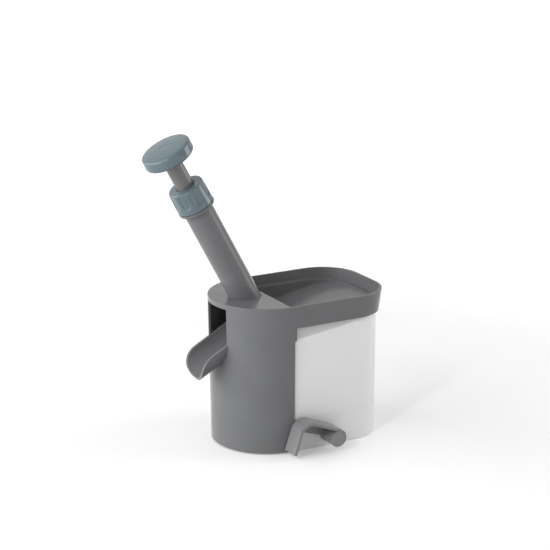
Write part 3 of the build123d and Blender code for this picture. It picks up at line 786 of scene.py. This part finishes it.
def put(piece: bpy.types.Object, body: str, slot: str, *nodes: str) -> None:
    """Hands a new piece to its body.

    Args:
        piece: the new piece.
        body: the CAD body that it rides on.
        slot: not used.
        nodes: the CAD nodes that it stands for.
    """
    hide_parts(*nodes)
    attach(piece, body)
    LOG.info("placed %s on %s", piece.name, body)


class ContainerUnit:
    """Frosted stone container with its gate."""

    def build(self) -> None:
        """Dresses the container and its gate."""
        dress(FROSTED, "stone_container", "container_gate")


@dataclass
class SuctionUnit:
    """Suction cup, its stem and cam, the base plate and the lever beside the foot."""

    cup_radius: float = 0.038
    cup_height: float = 0.0065
    stem_bore: float = 0.0101
    bore_round: float = 0.0003
    disc_radius: float = 0.01205
    disc_span: Span = (0.00345, 0.00555)
    segments: int = 128

    def cup(self) -> None:
        """Makes the cup with its thin lip and moulded bead."""
        wide, top, bore = self.cup_radius, self.cup_height, self.stem_bore
        floor, roof = self.disc_span
        underside = [(0.0, 0.0), (0.012, 0.0), (0.024, 0.0), (0.034, 0.0), (wide - 0.0006, 0.0)]
        lip = [(wide + 0.0002, 0.0002), (wide + 0.00055, 0.0008), (wide + 0.0004, 0.0013),
               (wide - 0.0008, 0.0018), (wide - 0.002, 0.0028), (wide - 0.003, 0.0032)]
        shoulder = [(0.033, 0.0037), (0.028, 0.0047), (0.023, 0.0056), (0.019, 0.0061),
                    (0.0165, 0.0063), (0.0146, top - 0.0001), (0.0135, top)]
        socket = [(bore + self.bore_round, top), (bore, top - self.bore_round), (bore, roof),
                  (self.disc_radius, roof), (self.disc_radius, floor), (0.0, floor)]
        made = Shaper.lathe("suction_cup_soft", underside + lip + shoulder + socket, CUP_RUBBER,
                            Matrix.Identity(4), self.segments)
        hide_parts("suction_cup")
        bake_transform(made)

    def build(self) -> None:
        """Builds and dresses the suction unit."""
        dress(PALE, "base_plate")
        dress(STEEL, "base_screws", "cam_shaft", "shaft_clip")
        dress(DARK, "cup_stem")
        dress(PAINTED_LIGHT_LEVER_GREY, "suction_lever")
        self.cup()
        LOG.info("suction unit built")


class CoverUnit:
    """Cover with hopper and half-round skirt, the exit chute and the seat under the punch."""

    def build(self) -> None:
        """Dresses the cover's pieces."""
        dress(GREY, "cover_body", "exit_chute")
        dress(BLUE_GREY, "seat_holder")
        dress(RUBBER, "seat_ring")


@dataclass
class TubeUnit:
    """Guide tube with its screw cap, spring and washer."""

    cap_low: float = 0.0986
    cap_high: float = 0.1190
    cap_radius: float = 0.0164
    cap_top_radius: float = 0.0158
    cap_bore: float = 0.0127
    rod_bore: float = 0.00825
    cap_roof: float = 0.003
    cap_shoulder: float = 0.0016
    cap_foot_round: float = 0.0006
    cap_foot_step: Spot = (0.0001, 0.0002)
    shoulder_start: float = 15.0
    shoulder_steps: int = 5
    bore_chamfer: float = 0.0004
    side_steps: int = 40
    segments: int = 256
    sharp: float = 42.0
    flutes: int = 8
    flute_width: float = 0.008
    flute_depth: float = 0.0012
    flute_foot: float = 0.005
    flute_wall: float = 0.0007
    spring_radius: float = 0.0076
    wire_radius: float = 0.00055
    spring_low: float = -0.0055
    spring_high: float = 0.0385
    spring_turns: float = 8.0
    turn_steps: int = 40
    closed_share: float = 0.085
    closed_lift: float = 0.028

    def flute(self, radius: float, height: float, angle: float) -> float:
        """Radius of the cap's skin with its finger flutes.

        Args:
            radius: radius of the plain skin.
            height: height along the tube.
            angle: angle about the tube.

        Returns:
            The radius in the flute or beside it.
        """
        if radius < self.cap_top_radius - self.cap_shoulder - self.bore_chamfer:
            return radius
        step = 2.0 * math.pi / self.flutes
        off = abs((angle + step / 2.0) % step - step / 2.0) * radius
        half = self.flute_width / 2.0
        foot = self.cap_low + self.flute_foot + half
        away = math.hypot(off, foot - height) if height < foot else off
        share = eased((half - away) / self.flute_wall)
        return min(radius, radius - share * (radius - (self.cap_radius - self.flute_depth)))

    def cap(self) -> bpy.types.Object:
        """Screw cap with rounded flutes that are open at the top.

        Returns:
            The cap.
        """
        low, high = self.cap_low, self.cap_high
        turn = self.cap_shoulder
        shares = [k / self.side_steps for k in range(self.side_steps + 1)]
        foot = [(self.cap_bore, low), (self.cap_radius - self.cap_foot_round, low),
                (self.cap_radius - self.cap_foot_step[0], low + self.cap_foot_step[1])]
        side = [(self.cap_radius + (self.cap_top_radius - self.cap_radius) * share,
                 low + self.cap_foot_round
                 + (high - turn - self.cap_foot_round - low) * share) for share in shares]
        shoulder = arc((self.cap_top_radius - turn, high - turn), turn, self.shoulder_start, 90.0,
                       self.shoulder_steps)
        roof = high - self.cap_roof
        hole = [(self.rod_bore + self.bore_chamfer, high),
                (self.rod_bore, high - self.bore_chamfer), (self.rod_bore, roof),
                (self.cap_bore, roof)]
        return Shaper.lathe("screw_cap_fluted", foot + side + shoulder + hole, BLUE_GREY,
                            AXIS.matrix, self.segments, self.flute, self.sharp)

    def spring(self) -> None:
        """Makes the return spring with closed end turns."""
        low, high = self.spring_low + self.wire_radius, self.spring_high - self.wire_radius
        count = int(self.spring_turns * self.turn_steps)
        closed, flat = self.closed_share, self.closed_lift
        path = []
        for k in range(count + 1):
            share = k / count
            turn = 2.0 * math.pi * self.spring_turns * share
            open_share = min(max((share - closed) / (1.0 - 2.0 * closed), 0.0), 1.0)
            rise = (flat * min(share / closed, 1.0) + (1.0 - 2.0 * flat) * open_share
                    + flat * max((share - 1.0 + closed) / closed, 0.0))
            local = Vector((self.spring_radius * math.cos(turn),
                            self.spring_radius * math.sin(turn), low + (high - low) * rise))
            path.append(AXIS.matrix @ local)
        made = Shaper.tube("return_spring_wire", path, self.wire_radius, SPRING)
        put(made, "cover", "spring_steel", "return_spring")
        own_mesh(made)

    def build(self) -> None:
        """Builds and dresses the tube's pieces."""
        dress(GREY, "guide_tube")
        dress(STEEL, "spring_seat")
        put(self.cap(), "cap", "blue_grey_plastic", "screw_cap")
        self.spring()


@dataclass
class PistonUnit:
    """Sprung piston with its palm knob and the steel punch."""

    knob_low: float = 0.145
    knob_radius: float = 0.0228
    knob_height: float = 0.0138
    crown: float = 0.0016
    taper: float = 0.0007
    underside_rise: float = 0.0014
    low_round: float = 0.0030
    face_round: float = 0.0020
    hub_radius: float = 0.0105
    hub_round: float = 0.0005
    hub_step: Spot = (0.0003, 0.0001)
    # Shares of the lower rounding that set its middle in from the rim and up
    low_inset: float = 1.13
    low_lift: float = 0.98
    # Share of a rounding that is left, so that it stays inside the solid knob
    round_trim: float = 0.99
    face_lift: float = 0.00016
    face_gap: float = 0.0002
    socket_radius: float = 0.0081
    socket_depth: float = 0.007
    socket_round: float = 0.0003
    gate_radius: float = 0.0045
    gate_depth: float = 0.00025
    gate_wall: float = 0.0012
    round_steps: int = 8
    crown_steps: int = 15
    segments: int = 192
    sharp: float = 40.0

    def knob(self) -> bpy.types.Object:
        """Palm knob: a thick disc with soft edges, a low crown and a hub.

        Returns:
            The knob.
        """
        low, wide, top = self.knob_low, self.knob_radius, self.knob_low + self.knob_height
        face = wide - self.taper
        rim = low + self.underside_rise
        wall = self.knob_height - self.crown - self.underside_rise
        lean = math.degrees(math.atan2(self.taper, wall))
        slope = math.degrees(math.atan2(self.underside_rise, wide - self.hub_radius))
        socket = [(0.0, low + self.socket_depth), (self.socket_radius, low + self.socket_depth),
                  (self.socket_radius, low + self.socket_round),
                  (self.socket_radius + self.socket_round, low),
                  (self.hub_radius - self.hub_round, low),
                  (self.hub_radius + self.hub_step[0], low + self.hub_step[1])]
        middle = (wide - self.low_round * self.low_inset, rim + self.low_round * self.low_lift)
        under = arc(middle, self.low_round * self.round_trim, slope - 90.0, lean,
                    self.round_steps)
        crown_radius = (face ** 2 + self.crown ** 2) / (2.0 * self.crown)
        edge = math.degrees(math.asin(face / crown_radius))
        middle = (face - self.face_round, top - self.crown - self.face_round + self.face_lift)
        over = arc(middle, self.face_round * self.round_trim, lean, 90.0 - edge,
                   self.round_steps)
        inner = face - self.face_round - self.face_gap
        crown = []
        for number in range(self.crown_steps):
            reach = inner * (1.0 - number / self.crown_steps)
            dip = self.gate_depth * eased((self.gate_radius - reach) / self.gate_wall)
            swell = math.sqrt(crown_radius ** 2 - reach ** 2) - crown_radius
            crown.append((reach, top + swell - dip))
        crown.append((0.0, top - self.gate_depth))
        return Shaper.lathe("palm_knob", socket + under + over + crown, BLUE_GREY, AXIS.matrix,
                            self.segments, sharp=self.sharp)

    def build(self) -> None:
        """Builds and dresses the piston's pieces."""
        dress(ROD_GREY, "piston_rod")
        dress(STEEL, "knob_stud", "punch_rod", "punch_head", "punch_pin")
        put(self.knob(), "piston", "blue_grey_plastic", "piston_knob")


@dataclass(frozen=True)
class Lamp:
    """A rectangular softbox that points at the object.

    Its place is in degrees and metres, its sides are in metres and its power is in watts.
    """

    name: str
    azimuth: float
    elevation: float
    distance: float
    width: float
    height: float
    power: float


@dataclass
class Studio:
    """Pale floor, soft light and the camera at the photograph's angle."""

    azimuth: float = -29.3
    elevation: float = 17.4
    distance: float = 1.544
    target: tuple[float, float, float] = (-0.0182, 0.0, 0.110)
    focal: float = 113.8
    sensor: float = 36.0
    shift: tuple[float, float] = (-0.012, 0.0738)
    clip: Span = (0.05, 50.0)
    fill: float = 0.40
    floor_reach: float = 9.0
    floor_cells: int = 8
    floor_colour: float = 0.90
    floor_rough: float = 0.6
    floor_near: float = 0.35
    floor_far: float = 1.6
    floor_glow: float = 0.16
    lamp_aim: tuple[float, float, float] = (0.0, 0.0, 0.12)
    lamps: tuple[Lamp, ...] = (
        Lamp("left_softbox", -108.0, 18.0, 1.7, 2.4, 1.8, 34.0),
        Lamp("left_strip", -58.0, 34.0, 1.6, 0.16, 0.7, 5.5),
        Lamp("right_strip", 70.0, 20.0, 1.7, 0.8, 1.5, 12.0),
        Lamp("front_softbox", -80.0, 2.0, 1.9, 1.2, 0.9, 10.0),
    )

    @staticmethod
    def away(azimuth: float, elevation: float) -> Vector:
        """Direction from the object towards a place on the sphere round it.

        Args:
            azimuth: degrees, 0 in front of the -Y side.
            elevation: degrees above the counter.

        Returns:
            A unit vector.
        """
        turn, rise = math.radians(azimuth), math.radians(elevation)
        flat = math.cos(rise)
        return Vector((math.sin(turn) * flat, -math.cos(turn) * flat, math.sin(rise)))

    @staticmethod
    def place(name: str, data: bpy.types.ID, spot: Vector, back: Vector) -> bpy.types.Object:
        """Puts a camera or a lamp at a spot, looking against a direction.

        Args:
            name: the object's name.
            data: the camera's or the lamp's data.
            spot: where it stands.
            back: unit vector from what it looks at towards it.

        Returns:
            The new object.
        """
        made = bpy.data.objects.new(name, data)
        made.location = spot
        made.rotation_euler = (-back).to_track_quat("-Z", "Y").to_euler()
        bpy.context.scene.collection.objects.link(made)
        return made

    def camera(self) -> None:
        """Sets the camera that repeats the photograph's view."""
        data = bpy.data.cameras.new("photo_camera")
        data.lens = self.focal
        data.sensor_width = self.sensor
        data.shift_x, data.shift_y = self.shift
        data.clip_start, data.clip_end = self.clip
        back = self.away(self.azimuth, self.elevation)
        spot = Vector(self.target) + back * self.distance
        bpy.context.scene.camera = self.place("photo_camera", data, spot, back)

    @staticmethod
    def shown(wire: Wiring) -> bpy.types.NodeSocket:
        """One for rays that show a surface, straight, in gloss or through a clear wall, else zero.

        Args:
            wire: the wiring of the material or world.

        Returns:
            The value's socket.
        """
        path = wire.node("ShaderNodeLightPath")
        seen = wire.math("MAXIMUM", path.outputs["Is Camera Ray"], path.outputs["Is Glossy Ray"])
        return wire.math("MAXIMUM", seen, path.outputs["Is Transmission Ray"])

    def light(self) -> None:
        """Adds the lamps and an even world, white where the camera looks past the object."""
        for lamp in self.lamps:
            data = bpy.data.lights.new(lamp.name, "AREA")
            data.shape = "RECTANGLE"
            data.size, data.size_y = lamp.width, lamp.height
            data.energy = lamp.power
            back = self.away(lamp.azimuth, lamp.elevation)
            self.place(lamp.name, data, Vector(self.lamp_aim) + back * lamp.distance, back)
        world = bpy.data.worlds.new("even_studio")
        world.use_nodes = True
        wire = Wiring(world.node_tree)
        shader = world.node_tree.nodes["Background"]
        strength = wire.span(self.shown(wire), 0.0, 1.0, self.fill, 1.0)
        wire.join(strength, shader.inputs["Strength"])
        shader.inputs["Color"].default_value = (1.0, 1.0, 1.0, 1.0)
        bpy.context.scene.world = world

    def floor(self) -> None:
        """Lays a wide pale floor that keeps the object's shadow."""
        mesh = bmesh.new()
        bmesh.ops.create_grid(mesh, x_segments=self.floor_cells, y_segments=self.floor_cells,
                              size=self.floor_reach)
        data = bpy.data.meshes.new("studio_floor")
        mesh.to_mesh(data)
        mesh.free()
        made = bpy.data.objects.new("studio_floor", data)
        bpy.context.scene.collection.objects.link(made)
        paint = bpy.data.materials.new("studio_floor")
        paint.use_nodes = True
        wire = Wiring(paint.node_tree)
        shader = paint.node_tree.nodes["Principled BSDF"]
        shader.inputs["Base Color"].default_value = (*[self.floor_colour] * 3, 1.0)
        shader.inputs["Roughness"].default_value = self.floor_rough
        seen = self.shown(wire)
        away = wire.node("ShaderNodeVectorMath", operation="LENGTH")
        wire.join(wire.place(), away.inputs[0])
        glow = wire.span(away.outputs["Value"], self.floor_near, self.floor_far,
                         self.floor_glow, 1.0)
        wire.join(wire.math("MULTIPLY", seen, glow), shader.inputs["Emission Strength"])
        shader.inputs["Emission Color"].default_value = (1.0, 1.0, 1.0, 1.0)
        data.materials.append(paint)

    def build(self) -> None:
        """Builds the studio."""
        self.camera()
        self.light()
        self.floor()
        bpy.context.scene.view_settings.view_transform = "Standard"
        LOG.info("studio built")


def main() -> None:
    """Builds the object's looks piece by piece, then the studio."""
    logging.basicConfig(level=logging.INFO, format="%(message)s")
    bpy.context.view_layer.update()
    Effects.build()
    for unit in (ContainerUnit(), SuctionUnit(), CoverUnit(), TubeUnit(), PistonUnit(), Studio()):
        unit.build()


if __name__ == "__main__":
    main()
